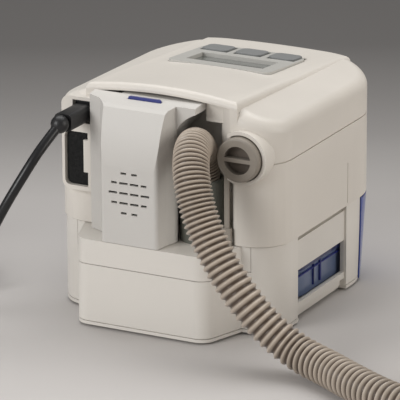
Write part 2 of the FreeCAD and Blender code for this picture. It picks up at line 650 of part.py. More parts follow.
def humidifier_base():
    """Base plate, cradle, band cover, feet, screws, heater and its board."""
    screws_at = [(70, -50), (-70, -50), (65, 48), (-65, 48)]
    feet_at = [(60, -46), (-60, -46), (36, 88), (-36, 88)]
    plate = form("plate_solid", base_form(0, size("foot_high"), size("plate_top")))
    notches = [box(f"plate_notch_{side}", (low, high), ("pillar_rear", "window_rear + 1"), (0, 5))
               for side, low, high in (("left", 76, 90), ("right", -90, -76))]
    screw_holes = [rod(f"plate_hole_{number}", 1.6, (x, y, 0), 5)
                   for number, (x, y) in enumerate(screws_at)]
    head_holes = [rod(f"plate_sink_{number}", 3.2, (x, y, 0), 2.7)
                  for number, (x, y) in enumerate(screws_at)]
    piece("base_plate", cut("plate_cut", plate, *notches, *screw_holes, *head_holes))
    piece("base_feet", group("feet_group", *[rod(f"foot_{number}", 7, (x, y, 0), "foot_high")
                                             for number, (x, y) in enumerate(feet_at)]))
    screws = [joined(f"screw_{number}", rod(f"screw_head_{number}", 3, (x, y, 1.7), 1),
                     rod(f"screw_shank_{number}", 1.45, (x, y, 2.7), 7))
              for number, (x, y) in enumerate(screws_at)]
    piece("base_screws", group("screw_group", *screws))

    outside = form("cradle_outside", base_form(0, size("plate_top"), size("deck")))
    line_core = form("plate_line_core", base_form(1.2, 0, 10))
    plate_line = cut("plate_line", box("plate_line_slab", (-100, 100), (-110, 110),
                                       ("plate_top", "plate_top + 0.6")), line_core)
    bay = box("bay", ("-bay_half", "bay_half"), (-120, "bay_back"), ("bay_floor", "bay_top"))
    tools = [plate_line, bay]
    for side, sign in (("left", 1), ("right", -1)):
        span = ("bay_half", 90) if sign > 0 else (-90, "-bay_half")
        skin = ("side_panel", 90) if sign > 0 else (-90, "-side_panel")
        shelf = ("side_panel - 4", 90) if sign > 0 else (-90, "-side_panel + 4")
        tools.append(box(f"window_{side}", span, ("window_front", "window_rear"),
                         ("sill_top", "window_top")))
        tools.append(box(f"under_sill_{side}", span, ("window_front", "window_rear + 1"),
                         (0, "sill_low")))
        tools.append(box(f"panel_step_{side}", skin, ("pillar_rear", "window_rear + 2"), (0, 70)))
        tools.append(box(f"panel_groove_{side}", shelf, ("pillar_rear", "window_rear + 2"),
                         ("deck - 3.5", 70)))
    tools.append(box("band_space", ("-band_half", "band_half"), ("band_front", 120),
                     ("band_low", 70)))
    tools.append(box("rear_cavity", (-57, 57), ("cavity_front", 66), (6, "bay_top")))
    tools.append(box("block_cavity", (-42, 42), (60, "block_rear - 3.5"), (6, 50)))
    tools.append(rod("heater_hole", 42.3, (0, "heater_y", 0), "bay_floor + 1"))
    tools.append(rod("duct_hole", "duct_radius + 0.05", ("port_x", 20, "duct_z"), 20, "y"))
    tools.append(rod("inlet_duct_hole", "inlet_radius + 0.05", ("inlet_duct_x", 20, "duct_z"),
                     18, "y"))
    tools.append(rod("deck_port", "inlet_radius + 0.05", ("inlet_duct_x", "inlet_duct_y", 50), 12))
    tools += [rod(f"cradle_hole_{number}", 1.5, (x, y, 0), 9.7)
              for number, (x, y) in enumerate(screws_at)]
    cradle = cut("cradle_cut", outside, *tools)
    posts = [rod(f"board_post_{number}", 3, (x, y, 5), 3)
             for number, (x, y) in enumerate(((-28, 70), (28, 70), (-28, 92), (28, 92)))]
    piece("humidifier_cradle", joined("cradle_with_posts", cradle, *posts))

    cover = shared("band_solid", form("band_outside", base_form(0, 40, size("deck"))),
                   box("band_box", ("0.3 - band_half", "band_half - 0.3"), ("band_front", 120),
                       ("band_low + 0.5", 70)))
    band_core = shared("band_core", form("band_inside", base_form(2.4, 30, 57.4)),
                       box("band_core_box", ("3 - band_half", "band_half - 3"),
                           ("band_front - 1", 120), (30, 70)))
    piece("rear_band_cover", cut("band_shell", cover, band_core, rod(
        "band_port", "port_radius + 0.05", ("port_x", "port_y", 50), 20)))

    piece("heater_plate", rod("heater_disc", 42, (0, "heater_y", 6), "bay_floor - 6"))
    piece("heater_element", rod("heater_film", 38, (0, "heater_y", "plate_top"), "6 - plate_top"))
    board = joined("heater_board_solid", box("heater_board", (-34, 34), (62, 97), (8, 9.6)),
                   box("heater_relay", (-20, -6), (76, 88), (9.6, 24)),
                   box("heater_connector", (4, 24), (84, 92), (9.6, 18)),
                   box("heater_sink", (-30, -26), (68, 92), (9.6, 26)))
    piece("humidifier_board", board)


def air_path():
    """Ducts between blower, chamber and hose, with their seals."""
    tube = joined("port_solid", rod("port_tube", "port_radius", ("port_x", "port_y", 50),
                                    "port_top - 50"),
                  rod("port_flange", 18, ("port_x", "port_y", 50), 2.5))
    tube = cut("port_bored", tube, rod("port_hollow", "port_bore", ("port_x", "port_y", 40), 80))
    tube = rounded("port_lip", tube, 0.8, lambda edge: edge.ZLength < 0.01 and edge.ZMin > 100)
    piece("outlet_port_tube", tube)
    piece("port_seal", ring("port_seal_ring", 15.9, "port_radius", ("port_x", "port_y", 54), 3.4))
    duct = joined("duct_solid", rod("duct_level", "duct_radius", ("port_x", 31.6, "duct_z"),
                                    "port_y - 31.6", "y"),
                  rod("duct_riser", "port_bore - 0.05", ("port_x", "port_y", 29), 29))
    duct = cut("duct_bored", duct, rod("duct_level_bore", 7, ("port_x", 30, "duct_z"),
                                       "port_y - 30", "y"),
               rod("duct_riser_bore", 9.5, ("port_x", "port_y", 31), 40))
    piece("transfer_duct", duct)
    inlet = joined("inlet_duct_solid", rod("inlet_level", "inlet_radius", (
        "inlet_duct_x", 31.6, "duct_z"), "inlet_duct_y - 31.6", "y"),
        rod("inlet_riser", "inlet_radius", ("inlet_duct_x", "inlet_duct_y", 34.5), 26))
    inlet = cut("inlet_duct_bored", inlet, rod("inlet_level_bore", 3.2, (
        "inlet_duct_x", 30, "duct_z"), "inlet_duct_y - 30", "y"),
        rod("inlet_riser_bore", 3.2, ("inlet_duct_x", "inlet_duct_y", 36), 30))
    piece("air_inlet_duct", inlet)
    seals = [ring("outlet_seal", 10.5, 7.2, ("port_x", 30.3, "duct_z"), 1.3, "y"),
             ring("inlet_seal", 6, 3.4, ("inlet_duct_x", 30.3, "duct_z"), 1.3, "y")]
    piece("chamber_port_seals", group("seal_group", *seals))


# ---------------------------------------------------------------- water chamber
def helical_spring(name, radius, wire, start, height, turns):
    """A round-wire compression spring standing upright, along one smooth curve."""
    steps = 12 * turns
    spots = [Vector(radius * math.cos(2 * math.pi * step / 12),
                    radius * math.sin(2 * math.pi * step / 12), height * step / steps)
             for step in range(steps + 1)]
    path = Part.BSplineCurve()
    path.interpolate(spots)
    hoop = Part.Wire(Part.makeCircle(wire, spots[0], path.tangent(path.FirstParameter)[0]))
    spring = form(name, Part.Wire(path.toShape()).makePipeShell([hoop], True, True))
    spring.Placement = Placement(Vector(*start), Rotation())
    return spring


def water_chamber():
    """Tub, lid, seal, steel base, front plate and latch, which slide out together."""
    width = ("-tub_half", "tub_half")
    depth = ("tub_front", "tub_back")
    tub = new_body("chamber_tub")
    outline = new_sketch(tub, "tub_outline", offset="tub_floor")
    rectangle(outline, width, depth)
    pad(tub, outline, "tub_top - tub_floor")
    fillet(tub, "tub_corner", upright)
    flange = new_sketch(tub, "tub_flange", offset="tub_top - 2.5")
    rectangle(flange, ("-tub_half - 1.8", "tub_half + 1.8"), ("tub_front - 1.5", "tub_back"))
    pad(tub, flange, 2.5)
    fillet(tub, 16, lambda edge: upright(edge) and edge.ZLength < 3)
    hollow = new_sketch(tub, "tub_hollow", offset="tub_floor + tub_wall")
    rectangle(hollow, ("-tub_half + tub_wall", "tub_half - tub_wall"),
              ("tub_front + tub_wall", "tub_back - tub_wall"))
    pocket(tub, hollow, "tub_top - tub_floor")
    window = new_sketch(tub, "tub_window", offset="tub_floor - 1")
    circle(window, 40, 0, "heater_y")
    pocket(tub, window, 6)

    lid = new_body("chamber_lid")
    outline = new_sketch(lid, "lid_outline", offset="tub_top + 1")
    rectangle(outline, width, depth)
    pad(lid, outline, "lid_top - tub_top - 1")
    fillet(lid, "tub_corner", upright)
    fillet(lid, 3, lambda edge: edge.ZLength < 0.01 and edge.ZMin > size("lid_top") - 1)
    hollow = new_sketch(lid, "lid_hollow", offset="tub_top")
    rectangle(hollow, ("-tub_half + 4", "tub_half - 4"), ("tub_front + 4", "tub_back - 4"))
    pocket(lid, hollow, "lid_top - tub_top - tub_wall")
    ports = new_sketch(lid, "lid_ports", plane="XZ_Plane", offset="-tub_back - 1")
    circle(ports, 7, "port_x", "duct_z")
    circle(ports, 3.2, "inlet_duct_x", "duct_z")
    pocket(lid, ports, 8)

    seal = cut("seal_frame", box("seal_slab", ("2 - tub_half", "tub_half - 2"),
                                 ("tub_front + 2", "tub_back - 0.5"), ("tub_top", "tub_top + 1")),
               box("seal_middle", ("5 - tub_half", "tub_half - 5"),
                   ("tub_front + 5", "tub_back - 4"), (30, 40)))
    seal = rounded("seal_corners", seal, 10, upright)
    piece("chamber_lid_seal", seal)
    piece("chamber_steel_base", rod("steel_disc", "plate_radius", (0, "heater_y", "tub_floor - 1.2"),
                                    1.2))

    low, high = size("fascia_low"), size("fascia_top")
    front_skin = form("fascia_outside", lean_form(0, low, high))
    front_core = form("fascia_inside", lean_form(size("fascia_thick"), low - 1, high + 1))
    in_front = box("fascia_zone", (-100, 100), (-130, "base_front - 0.4"), (0, 61))
    notch = box("latch_notch", (-15, 15), (-130, -80), (46, 70))
    plate = cut("fascia_cut", shared("fascia_front", front_skin, in_front), front_core, notch)
    struts = [shared(f"strut_{side}", front_core, box(f"strut_box_{side}", (low_x, high_x),
                                                      (-110, "tub_front"), (15, 30)))
              for side, low_x, high_x in (("left", 24, 30), ("right", -30, -24))]
    ledge = shared("latch_ledge", form("ledge_core", lean_form(2.9, 40, 50)),
                   box("ledge_box", (-17, 17), (-110, -84), (41, 43.5)))
    piece("chamber_front_plate", joined("fascia_solid", plate, *struts, ledge))

    button = shared("latch_block", form("latch_skin", lean_form(0.3, 48, 59.2)),
                    box("latch_box", (-14.6, 14.6), (-120, -88), (50, 59.2)))
    button = joined("latch_with_stem", button, rod("latch_stem", 2, (0, -91, 47.5), 4))
    piece("chamber_latch", button)
    piece("latch_spring", helical_spring("latch_coil", 3.4, 0.4, (0, -91, 43.95), 5.6, 4))


# ---------------------------------------------------------------- data module
def data_module():
    """Clip-on data module: two shells, board, card socket, card and sounder."""
    low = size("deck") + 0.3
    right, left, back = size("module_right"), size("module_left"), size("module_back") + 0.2
    face = size("module_face")
    plan = [(right, face), (left, face), (left + 3, face - 10.5), (left + 10, face - 18),
            (47.5, face - 22), (47.5, back), (right, back), (right, face - 23.5),
            (right - 3, face - 22.5), (right - 3, face - 18.5), (right - 1, face - 10.5)]
    corners = [Vector(x, y, low) for x, y in plan]
    column = Part.Face(Part.makePolygon(corners + corners[:1])).extrude(Vector(0, 0, 110))
    column = column.makeFillet(3, [edge for edge in column.Edges if upright(edge.BoundBox)
                                   and edge.BoundBox.YMin > face - 0.1])
    arm = Part.makeBox(left - right, 30, 110, Vector(right, 46.8, low))
    top = size("module_top")
    side = [Vector(-50, y, z) for y, z in ((face, 112), (face - 3, 131), (face - 10, top - 1.5))]
    profile = [Vector(-50, y, z) for y, z in (
        (face - 13, top + 0.4), (back, top + 2.6), (46.8, top + 1.9), (46.8, 137), (60, 134),
        (back, 126), (back, low), (face, low))]
    edges = [Part.Arc(*side).toShape()]
    spots = [side[-1]] + profile + [side[0]]
    edges += [Part.makeLine(first, second) for first, second in zip(spots, spots[1:])]
    flank = Part.Face(Part.Wire(edges)).extrude(Vector(110, 0, 0))
    flare_spots = [Vector(x, 47.5, z) for x, z in ((right, 118), (right - 4.6, 138), (-30, 147.5),
                                                   (-30, 165), (0, 165), (0, 118))]
    flare_edges = [Part.Arc(*flare_spots[:3]).toShape()]
    closing = flare_spots[2:] + flare_spots[:1]
    flare_edges += [Part.makeLine(first, second) for first, second in zip(closing, closing[1:])]
    flare = Part.Face(Part.Wire(flare_edges)).extrude(Vector(0, 33, 0))
    solid = column.fuse([arm, flare]).removeSplitter().common(flank).Solids[0]
    outside = form("module_outside", solid)
    hollows = [box("module_hollow", ("module_right + 2", "module_left - 2"), (75, 99.5), (63, 118)),
               box("module_high_hollow", ("module_right + 2", "module_left - 2"), (75, 90),
                   (117, 146)),
               box("module_arm_hollow", ("module_right + 2", "module_left - 2"), (49, 80),
                   (139, 150.5))]
    slots = []
    for row in range(-2, 3):
        count = 2 if abs(row) == 2 else 4
        for number in range(count):
            place_in_row = number - (count - 1) / 2
            short = 4.2 if abs(row) == 2 or (abs(row) == 1 and abs(place_in_row) > 1) else 6.2
            pull = 0.9 if short < 6 and count == 4 else 0
            middle = 7.5 + 7.8 * place_in_row - math.copysign(pull, place_in_row)
            slots.append(box(f"grille_{row + 2}_{number}", (middle - short / 2, middle + short / 2),
                             (95, 110), (95.1 + 6.7 * row - 0.75, 95.1 + 6.7 * row + 0.75)))
    card_slot = box("card_slot", (-4.7, 20.1), (77, 79.4), (140, 170))
    shell = cut("module_shell", outside, *hollows, *slots, card_slot)
    ahead = box("module_ahead", (-60, 60), (86, 120), (50, 170))
    behind = box("module_behind", (-60, 60), (40, 86), (50, 170))
    piece("link_module_front", shared("module_front", shell, ahead))
    piece("link_module_back", shared("module_rear", shell, behind))
    piece("module_board", joined("module_board_solid",
                                 box("module_plate", (-10, 25), (84, 85.6), (66, 134)),
                                 box("module_chip", (-4, 8), (85.6, 88), (112, 124)),
                                 box("module_plug", (-6, 16), (78, 84), (66.5, 78)),
                                 box("card_socket", (-6, 21.4), (76, 84), (108, 117.8))))
    piece("module_sounder", rod("sounder", 10, (7.5, 85.7, 95), 6.5, "y"))
    card = rounded("card_shape", box("card_slab", (-4.2, 19.6), (77.5, 78.9), (118, 153.6)), 1.6,
                   lambda edge: edge.XLength < 0.01 and edge.ZLength < 0.01 and edge.ZMin > 150)
    piece("data_card", card)


# ---------------------------------------------------------------- hose and mains cord
def tube(name, points, radius):
    """A tube along straight runs joined by arcs as large as each pair of runs allows."""
    spots = [Vector(*point) for point in points]
    edges = []
    start = spots[0]
    for before, corner, after in zip(spots, spots[1:], spots[2:]):
        back = (before - corner).normalize()
        ahead = (after - corner).normalize()
        half_turn = (math.pi - back.getAngle(ahead)) / 2
        reach = 0.45 * min((corner - before).Length, (after - corner).Length)
        bend = reach / math.tan(half_turn)
        enter = corner + back * reach
        leave = corner + ahead * reach
        towards = (back + ahead).normalize()
        middle = corner + towards * (bend / math.cos(half_turn) - bend)
        edges.append(Part.LineSegment(start, enter).toShape())
        edges.append(Part.Arc(enter, middle, leave).toShape())
        print(f"{name}: bend radius {bend:.1f} mm, turn {math.degrees(2 * half_turn):.0f} deg")
        start = leave
    edges.append(Part.LineSegment(start, spots[-1]).toShape())
    spine = Part.Wire(edges)
    disc = Part.Wire(Part.makeCircle(radius, spots[0], spots[1] - spots[0]))
    solid = spine.makePipeShell([disc], True, False)
    expected = math.pi * radius ** 2 * spine.Length
    print(f"{name}: length {spine.Length:.0f} mm, volume {solid.Volume / expected:.4f} of expected")
    if abs(solid.Volume / expected - 1) > 0.01:
        raise RuntimeError(f"{name} is not a clean tube")
    return form(f"{name}_tube", solid)


def breathing_hose():
    """The corrugated hose with both cuffs and the ring it is stored in."""
    x, y = "port_x", "port_y"
    start = size("port_top") - 10
    piece("hose_cuff", ring("cuff_sleeve", "port_bore - 0.05", 9.4, (x, y, 74), start - 74))
    floor = size("hose_radius") + 0.1
    middle_x, middle_y = size("hose_coil_x"), size("hose_coil_y")
    radius = size("hose_coil_radius")
    join_y = middle_y + radius
    route = [(size(x), size(y), start), (size(x), size(y), 115), (-29.5, 79, 128.5),
             (-35.5, 97, 128.5), (-42, 110, 115.5), (-50.5, 116, 94.5), (-65, 121, 71), (-84, 124, 48),
             (-104, 123, 28), (-124, 122, 15), (-148, 130, floor), (-175, 147, floor),
             (-206, 164, floor), (-244, 176, floor), (-284, join_y - 1, floor),
             (middle_x, join_y, floor)]
    piece("breathing_hose", tube("breathing_hose", route, size("hose_radius")))
    lower = ring("coil_lower", "hose_coil_radius + hose_radius", "hose_coil_radius - hose_radius",
                 ("hose_coil_x", "hose_coil_y", 0.1), "2 * hose_radius")
    upper = ring("coil_upper", "hose_coil_radius + hose_radius", "hose_coil_radius - hose_radius",
                 ("hose_coil_x", "hose_coil_y", "2 * hose_radius + 0.1"), "2 * hose_radius")
    quarter = box("coil_quarter", ("hose_coil_x", "hose_coil_x + 200"),
                  ("hose_coil_y", "hose_coil_y + 200"), ("2 * hose_radius + 0.1", 90))
    piece("hose_coil", joined("coil_solid", lower, cut("coil_upper_open", upper, quarter)))
    end = ("hose_coil_x + hose_coil_radius", "hose_coil_y", "3 * hose_radius + 1.5")
    cuff_end = ring("end_cuff_sleeve", 13.2, 11, end, 36, "y")
    piece("hose_end_cuff", cuff_end)


def mains_lead():
    """The mains lead: appliance plug, boot, cord, stored ring, tie and wall plug."""
    body = rounded("plug_body", box("plug_block", ("inlet_x - 6.2", "inlet_x + 6.2"), (73, 102),
                                    ("inlet_z - 5.8", "inlet_z + 5.8")), 3,
                   lambda edge: edge.XLength < 0.01 and edge.ZLength < 0.01)
    nose = box("plug_nose", ("inlet_x - 5.2", "inlet_x + 5.2"), (66.4, 73),
               ("inlet_z - 4.9", "inlet_z + 4.9"))
    piece("appliance_plug", joined("plug_solid", body, nose))
    start = Vector(size("inlet_x"), 106, size("inlet_z"))
    boot = joined("boot_solid", rod("boot_neck", 4.6, ("inlet_x", 102, "inlet_z"), 3, "y"),
                  form("boot_ball", Part.makeSphere(6, start)))
    piece("plug_boot", shared("boot_behind_plug", boot,
                              box("boot_zone", (30, 80), (102, 130), (110, 160))))

    low = size("cord_radius") + 0.05
    middle_x, middle_y = size("cord_coil_x"), size("cord_coil_y")
    outer_turn = size("cord_coil_radius") + 2 * size("cord_radius")
    join = math.radians(62)
    join_x = middle_x + outer_turn * math.cos(join)
    join_y = middle_y + outer_turn * math.sin(join)
    route = [tuple(start), (59.4, 122, 125.8), (66.5, 134, 108.5), (76.9, 141, 88),
             (90, 144, 62), (106, 143, 38), (126, 139, 17), (149, 132, low), (173, 123.6, low),
             (join_x, join_y, low)]
    piece("mains_cord", tube("mains_cord", route, size("cord_radius")))
    piece("mains_cord_coil", ring("cord_ring", "cord_coil_radius + 3 * cord_radius",
                                  "cord_coil_radius - 3 * cord_radius",
                                  ("cord_coil_x", "cord_coil_y", 0.05), "4 * cord_radius"))
    tie = cut("tie_strap", box("tie_outer", ("cord_coil_x - 46.4", "cord_coil_x - 23.6"),
                               ("cord_coil_y - 4", "cord_coil_y + 4"), (0, 14.4)),
              box("tie_inner", ("cord_coil_x - 45.1", "cord_coil_x - 24.9"),
                  ("cord_coil_y - 9", "cord_coil_y + 9"), (-1, 13.2)))
    piece("cord_tie", tie)
    turn_x = "cord_coil_x + cord_coil_radius + 2 * cord_radius"
    block = rounded("wall_plug_body", box("wall_plug_block", (f"{turn_x} - 12", f"{turn_x} + 12"),
                                          (8, 42), (0.2, 22.2)), 4,
                    lambda edge: edge.XLength < 0.01 and edge.ZLength < 0.01)
    neck = doc.addObject("Part::Cone", "wall_plug_neck")
    neck.Placement = Placement(Vector(outer_turn + middle_x, 42, 3 * size("cord_radius") + 0.05),
                               ALONG["y"])
    neck.Radius1 = 6
    neck.Radius2 = 3.7
    neck.Height = 14.4
    blades = [box(f"blade_{side}", (f"{turn_x} + {offset} - 0.75", f"{turn_x} + {offset} + 0.75"),
                  (-9, 8), (8, 14.4)) for side, offset in (("left", 6.35), ("right", -6.35))]
    piece("wall_plug", joined("wall_plug_solid", block, neck, *blades))


def check_and_write():
    """Stops on a failed object, then writes every piece to parts/."""
    doc.recompute()
    for item in doc.Objects:
        if {"Invalid", "Error"} & set(item.State):
            raise RuntimeError(f"{item.Name} failed: {item.State}")
    os.makedirs("parts", exist_ok=True)
    for part in PIECES:
        if part.Shape.isNull() or not part.Shape.isValid():
            raise RuntimeError(f"{part.Label} is not a valid shape")
        part.Shape.exportStep(f"parts/{part.Label}.step")
    print(f"{len(PIECES)} pieces written")


upper_unit()
control_panel()
blower()
electrics()
rear_fittings()
humidifier_base()
air_path()
water_chamber()
data_module()
breathing_hose()
mains_lead()
check_and_write()
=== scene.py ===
# The looks of a bedside breathing machine: camera, light, cords, refined pieces, materials.
import json
import math

import bmesh
import bpy
from mathutils import Matrix, Vector


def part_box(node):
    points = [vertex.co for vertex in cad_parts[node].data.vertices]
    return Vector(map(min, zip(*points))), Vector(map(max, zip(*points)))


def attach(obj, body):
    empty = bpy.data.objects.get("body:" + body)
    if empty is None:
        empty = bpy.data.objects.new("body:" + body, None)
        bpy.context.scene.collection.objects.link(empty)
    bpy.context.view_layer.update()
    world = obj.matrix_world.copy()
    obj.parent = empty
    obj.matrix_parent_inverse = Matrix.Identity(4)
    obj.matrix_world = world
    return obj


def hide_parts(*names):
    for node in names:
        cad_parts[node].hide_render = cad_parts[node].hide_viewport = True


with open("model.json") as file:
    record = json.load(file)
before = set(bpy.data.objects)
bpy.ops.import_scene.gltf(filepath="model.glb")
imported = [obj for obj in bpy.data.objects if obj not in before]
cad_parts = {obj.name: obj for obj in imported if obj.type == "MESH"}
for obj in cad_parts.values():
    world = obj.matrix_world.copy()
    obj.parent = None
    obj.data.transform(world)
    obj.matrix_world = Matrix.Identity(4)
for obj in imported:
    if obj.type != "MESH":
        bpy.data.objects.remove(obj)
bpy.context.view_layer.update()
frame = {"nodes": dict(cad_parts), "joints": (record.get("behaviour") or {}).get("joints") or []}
nodes = frame["nodes"]
scene = bpy.context.scene

# ------------------------------------------------------------------ camera
AZIMUTH, ELEVATION, ROLL = math.radians(207.6), math.radians(18.1), math.radians(-0.3)
TARGET = Vector((0.009, 0.0, 0.0615))
DISTANCE = 2.6
towards = Vector((math.sin(AZIMUTH) * math.cos(ELEVATION),
                  -math.cos(AZIMUTH) * math.cos(ELEVATION), math.sin(ELEVATION)))
camera_data = bpy.data.cameras.new("camera")
camera_data.lens = 351
camera_data.sensor_width = 36
camera_data.clip_end = 50
camera = bpy.data.objects.new("camera", camera_data)
scene.collection.objects.link(camera)
turn = (-towards).to_track_quat("-Z", "Y").to_matrix() @ Matrix.Rotation(ROLL, 3, "Z")
camera.matrix_world = Matrix.Translation(TARGET + towards * DISTANCE) @ turn.to_4x4()
scene.camera = camera


# ------------------------------------------------------------------ small tools
def link(obj):
    scene.collection.objects.link(obj)
    return obj


def mesh_piece(name, verts, faces, body, smooth=True):
    mesh = bpy.data.meshes.new(name)
    mesh.from_pydata([tuple(v) for v in verts], [], faces)
    mesh.validate()
    mesh.update()
    for face in mesh.polygons:
        face.use_smooth = smooth
    obj = link(bpy.data.objects.new(name, mesh))
    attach(obj, body)
    return obj


def bm_piece(name, bm, body, smooth=True):
    bmesh.ops.recalc_face_normals(bm, faces=bm.faces)
    mesh = bpy.data.meshes.new(name)
    bm.to_mesh(mesh)
    bm.free()
    for face in mesh.polygons:
        face.use_smooth = smooth
    obj = link(bpy.data.objects.new(name, mesh))
    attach(obj, body)
    return obj


def route_line(points):
    """The points of the open smooth curve that has the route's points as its control points."""
    data = bpy.data.curves.new("route", "CURVE")
    data.dimensions = "3D"
    data.resolution_u = 12
    spline = data.splines.new("NURBS")
    spline.points.add(len(points) - 1)
    for spot, point in zip(spline.points, points):
        spot.co = (*point, 1)
    spline.order_u = 3
    spline.use_endpoint_u = True
    curve = link(bpy.data.objects.new("route", data))
    bpy.context.view_layer.update()
    mesh = bpy.data.meshes.new_from_object(curve)
    line = [vert.co.copy() for vert in mesh.vertices]
    bpy.data.meshes.remove(mesh)
    bpy.data.objects.remove(curve)
    return line


def even_line(line, step):
    """The same line with points one step apart."""
    spots = [line[0].copy()]
    left = step
    for a, b in zip(line, line[1:]):
        run = (b - a).length
        way = b - a
        done = 0.0
        while run - done >= left:
            done += left
            spots.append(a + way * (done / run))
            left = step
        left -= run - done
    return spots


# ------------------------------------------------------------------ materials
def material(name, base, rough=0.45, spread=0.03, grain=900.0, bump=0.02, large=18.0,
             metallic=0.0, coat=0.0, sheen=0.0, transmission=0.0, ior=1.46, alpha=1.0,
             subsurface=0.0, edge=0.0, specular=0.5):
    """A moulded surface: colour drift, fine grain in bump and roughness, and sharp edges lightened
    as a painted highlight.
    """
    made = bpy.data.materials.new(name)
    made.use_nodes = True
    tree = made.node_tree
    shader = tree.nodes["Principled BSDF"]
    new, join = tree.nodes.new, tree.links.new
    place = new("ShaderNodeTexCoord")
    drift = new("ShaderNodeTexNoise")
    drift.inputs["Scale"].default_value = large
    drift.inputs["Detail"].default_value = 3
    join(place.outputs["Object"], drift.inputs["Vector"])
    ramp = new("ShaderNodeValToRGB")
    ramp.color_ramp.elements[0].position = 0.35
    ramp.color_ramp.elements[1].position = 0.65
    ramp.color_ramp.elements[0].color = (*[c * (1 - spread) for c in base], 1)
    ramp.color_ramp.elements[1].color = (*[min(1, c * (1 + spread)) for c in base], 1)
    join(drift.outputs["Fac"], ramp.inputs["Fac"])
    colour = ramp.outputs["Color"]
    # Painted highlight: sharp convex edges are lightened by the edge amount, as if they were
    # catching the light.
    if edge:
        geometry = new("ShaderNodeNewGeometry")
        painted_edge_highlight = new("ShaderNodeValToRGB")
        painted_edge_highlight.color_ramp.elements[0].position = 0.51
        painted_edge_highlight.color_ramp.elements[1].position = 0.58
        join(geometry.outputs["Pointiness"], painted_edge_highlight.inputs["Fac"])
        mix = new("ShaderNodeMix")
        mix.data_type = "RGBA"
        mix.inputs["B"].default_value = (*[min(1, c * (1 + edge)) for c in base], 1)
        join(painted_edge_highlight.outputs["Color"], mix.inputs["Factor"])
        join(colour, mix.inputs["A"])
        colour = mix.outputs["Result"]
    join(colour, shader.inputs["Base Color"])
    fine = new("ShaderNodeTexNoise")
    fine.inputs["Scale"].default_value = grain
    fine.inputs["Detail"].default_value = 2
    join(place.outputs["Object"], fine.inputs["Vector"])
    dull = new("ShaderNodeMapRange")
    dull.inputs["To Min"].default_value = max(0.02, rough - 0.06)
    dull.inputs["To Max"].default_value = min(1, rough + 0.06)
    join(fine.outputs["Fac"], dull.inputs["Value"])
    join(dull.outputs["Result"], shader.inputs["Roughness"])
    relief = new("ShaderNodeBump")
    relief.inputs["Strength"].default_value = bump
    relief.inputs["Distance"].default_value = 0.0004
    join(fine.outputs["Fac"], relief.inputs["Height"])
    join(relief.outputs["Normal"], shader.inputs["Normal"])
    for socket, value in (("Metallic", metallic), ("Coat Weight", coat), ("Sheen Weight", sheen),
                          ("Transmission Weight", transmission), ("IOR", ior), ("Alpha", alpha),
                          ("Subsurface Weight", subsurface), ("Specular IOR Level", specular)):
        shader.inputs[socket].default_value = value
    return made


IVORY = material("ivory_plastic", (0.68, 0.64, 0.585), rough=0.42, spread=0.02, bump=0.05,
                 edge=0.05)
IVORY_LOW = material("ivory_plastic_base", (0.68, 0.648, 0.60), rough=0.42, spread=0.02,
                     bump=0.05, edge=0.05)
MODULE = material("ivory_plastic_module", (0.575, 0.555, 0.525), rough=0.5, spread=0.02, bump=0.1,
                  edge=0.04)
BEZEL = material("bezel_overlay", (0.50, 0.49, 0.46), rough=0.35, spread=0.02, bump=0.03)
KEY = material("key_rubber", (0.155, 0.16, 0.16), rough=0.5, spread=0.05, bump=0.08, sheen=0.2)
GLASS = material("display_glass", (0.10, 0.105, 0.095), rough=0.12, spread=0.05, bump=0.0,
                 coat=0.5)
BOARD = material("circuit_board", (0.02, 0.13, 0.05), rough=0.4, spread=0.2, grain=250, large=60)
BLACK = material("black_plastic", (0.012, 0.012, 0.013), rough=0.38, spread=0.15, bump=0.06)
CORD = material("black_cord", (0.010, 0.010, 0.011), rough=0.3, spread=0.15, bump=0.04)
STEEL = material("motor_steel", (0.42, 0.42, 0.43), rough=0.32, metallic=1, large=70, spread=0.06)
HEATER = material("heater_metal", (0.60, 0.60, 0.61), rough=0.35, metallic=1, large=40, spread=0.05)
RUBBER = material("soft_rubber", (0.03, 0.03, 0.03), rough=0.7, spread=0.1, bump=0.15)
CAP = material("cap_plastic", (0.265, 0.235, 0.20), rough=0.42, spread=0.03, bump=0.05, edge=0.12)
PORT = material("port_plastic", (0.15, 0.155, 0.135), rough=0.4, spread=0.04, bump=0.05)
FOAM = material("filter_foam", (0.008, 0.008, 0.008), rough=0.95, spread=0.4, grain=1400,
                bump=0.8, large=500)
BLUE = material("chamber_blue", (0.17, 0.22, 0.36), rough=0.16, spread=0.08, bump=0.02,
                transmission=0.25, coat=0.3)
FASCIA = material("chamber_fascia", (0.045, 0.085, 0.38), rough=0.2, spread=0.05, bump=0.02,
                  transmission=0.15, coat=0.4)
NAVY = material("navy_plastic", (0.022, 0.032, 0.20), rough=0.25, spread=0.08, bump=0.03, coat=0.2)

LOOKS = {
    IVORY: ["lower_housing", "upper_housing", "filter_frame", "outlet_collar"],
    IVORY_LOW: ["humidifier_cradle", "rear_band_cover", "base_plate"],
    MODULE: ["link_module_front", "link_module_back"],
    BEZEL: ["control_bezel"],
    KEY: ["key_left", "key_middle", "key_right", "key_domes"],
    GLASS: ["display_window"],
    BOARD: ["main_circuit_board", "power_supply_board", "humidifier_board", "module_board",
            "display_module"],
    BLACK: ["blower_volute_lower", "blower_volute_upper", "blower_impeller", "mains_inlet",
            "blower_outlet_duct", "module_sounder", "appliance_plug", "plug_boot", "wall_plug",
            "cord_tie"],
    STEEL: ["blower_motor", "base_screws", "latch_spring", "chamber_steel_base"],
    HEATER: ["heater_plate", "heater_element"],
    RUBBER: ["blower_mounts", "base_feet", "port_seal", "chamber_port_seals", "chamber_lid_seal"],
    CAP: ["outlet_cap", "cap_strap", "hose_cuff", "hose_end_cuff"],
    PORT: ["outlet_port_tube", "air_outlet_nozzle", "transfer_duct", "air_inlet_duct"],
    FOAM: ["air_filter", "muffler_foam"],
    BLUE: ["chamber_tub"],
    FASCIA: ["chamber_front_plate", "chamber_lid"],
    NAVY: ["data_card", "chamber_latch"],
}
